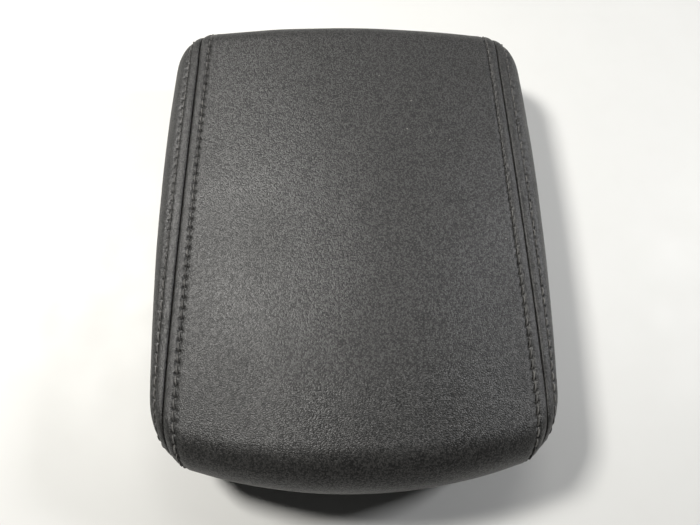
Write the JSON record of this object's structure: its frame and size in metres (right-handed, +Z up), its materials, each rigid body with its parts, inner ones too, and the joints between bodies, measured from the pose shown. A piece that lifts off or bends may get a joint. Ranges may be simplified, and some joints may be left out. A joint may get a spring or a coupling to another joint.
{
  "type": "car armrest",
  "caption": "Padded centre console lid with stitched side seams, foam, plastic carrier, inner panel, front latch and rear hinge on a bracket.",
  "frame": {"origin": "middle of the armrest's footprint, on the surface that it lies on", "axes": "+Z up, +Y towards the hinge at the rear, +X to the right when looking to the rear"},
  "size_m": [0.1998, 0.2506, 0.0605],
  "materials": {
    "cover_leather": "fine grained charcoal upholstery, satin, slightly worn",
    "thread": "grey bonded polyester thread",
    "foam": "open cell foam",
    "carrier_plastic": "moulded, unpainted",
    "panel_plastic": "fine moulded grain",
    "screw_steel": "black phosphated",
    "stop_rubber": "matte",
    "latch_plastic": "smooth moulded, satin",
    "pin_steel": "bright",
    "zinc_steel": "zinc plated sheet",
    "bushing_nylon": "natural nylon",
    "bracket_paint": "black electrocoat"
  },
  "bodies": {
    "console": {"console_bracket": "bracket_paint", "hinge_pin": "pin_steel", "hinge_pin_clip": "pin_steel"},
    "lid": {"centre_cover": "cover_leather", "left_side_cover": "cover_leather", "right_side_cover": "cover_leather", "left_inner_stitching": "thread", "left_outer_stitching": "thread", "right_inner_stitching": "thread", "right_outer_stitching": "thread", "foam_pad": "foam", "lid_carrier": "carrier_plastic", "inner_panel": "panel_plastic", "panel_screw_1": "screw_steel", "panel_screw_2": "screw_steel", "panel_screw_3": "screw_steel", "panel_screw_4": "screw_steel", "panel_screw_5": "screw_steel", "panel_screw_6": "screw_steel", "panel_screw_7": "screw_steel", "panel_screw_8": "screw_steel", "hinge_plate_screw_1": "screw_steel", "hinge_plate_screw_2": "screw_steel", "hinge_plate_screw_3": "screw_steel", "hinge_plate_screw_4": "screw_steel", "rubber_stop_1": "stop_rubber", "rubber_stop_2": "stop_rubber", "rubber_stop_3": "stop_rubber", "rubber_stop_4": "stop_rubber", "latch_pin": "pin_steel", "latch_spring": "pin_steel", "lid_hinge_plate": "zinc_steel", "hinge_bushing_left": "bushing_nylon", "hinge_bushing_right": "bushing_nylon"},
    "latch": {"latch_lever": "latch_plastic"}
  },
  "joints": [
    {"name": "lid_hinge", "type": "hinge", "parent": "console", "child": "lid", "pos_m": [0, 0.118, 0.0095], "axis": [-1, 0, 0], "range_deg": [0, 85]},
    {"name": "latch_pivot", "type": "hinge", "parent": "lid", "child": "latch", "pos_m": [0, -0.107, 0.0075], "axis": [-1, 0, 0], "range_deg": [0, 18], "stiffness_Nm_per_rad": 0.08, "springref_deg": -17.19, "deforming": ["latch_spring"]}
  ]
}
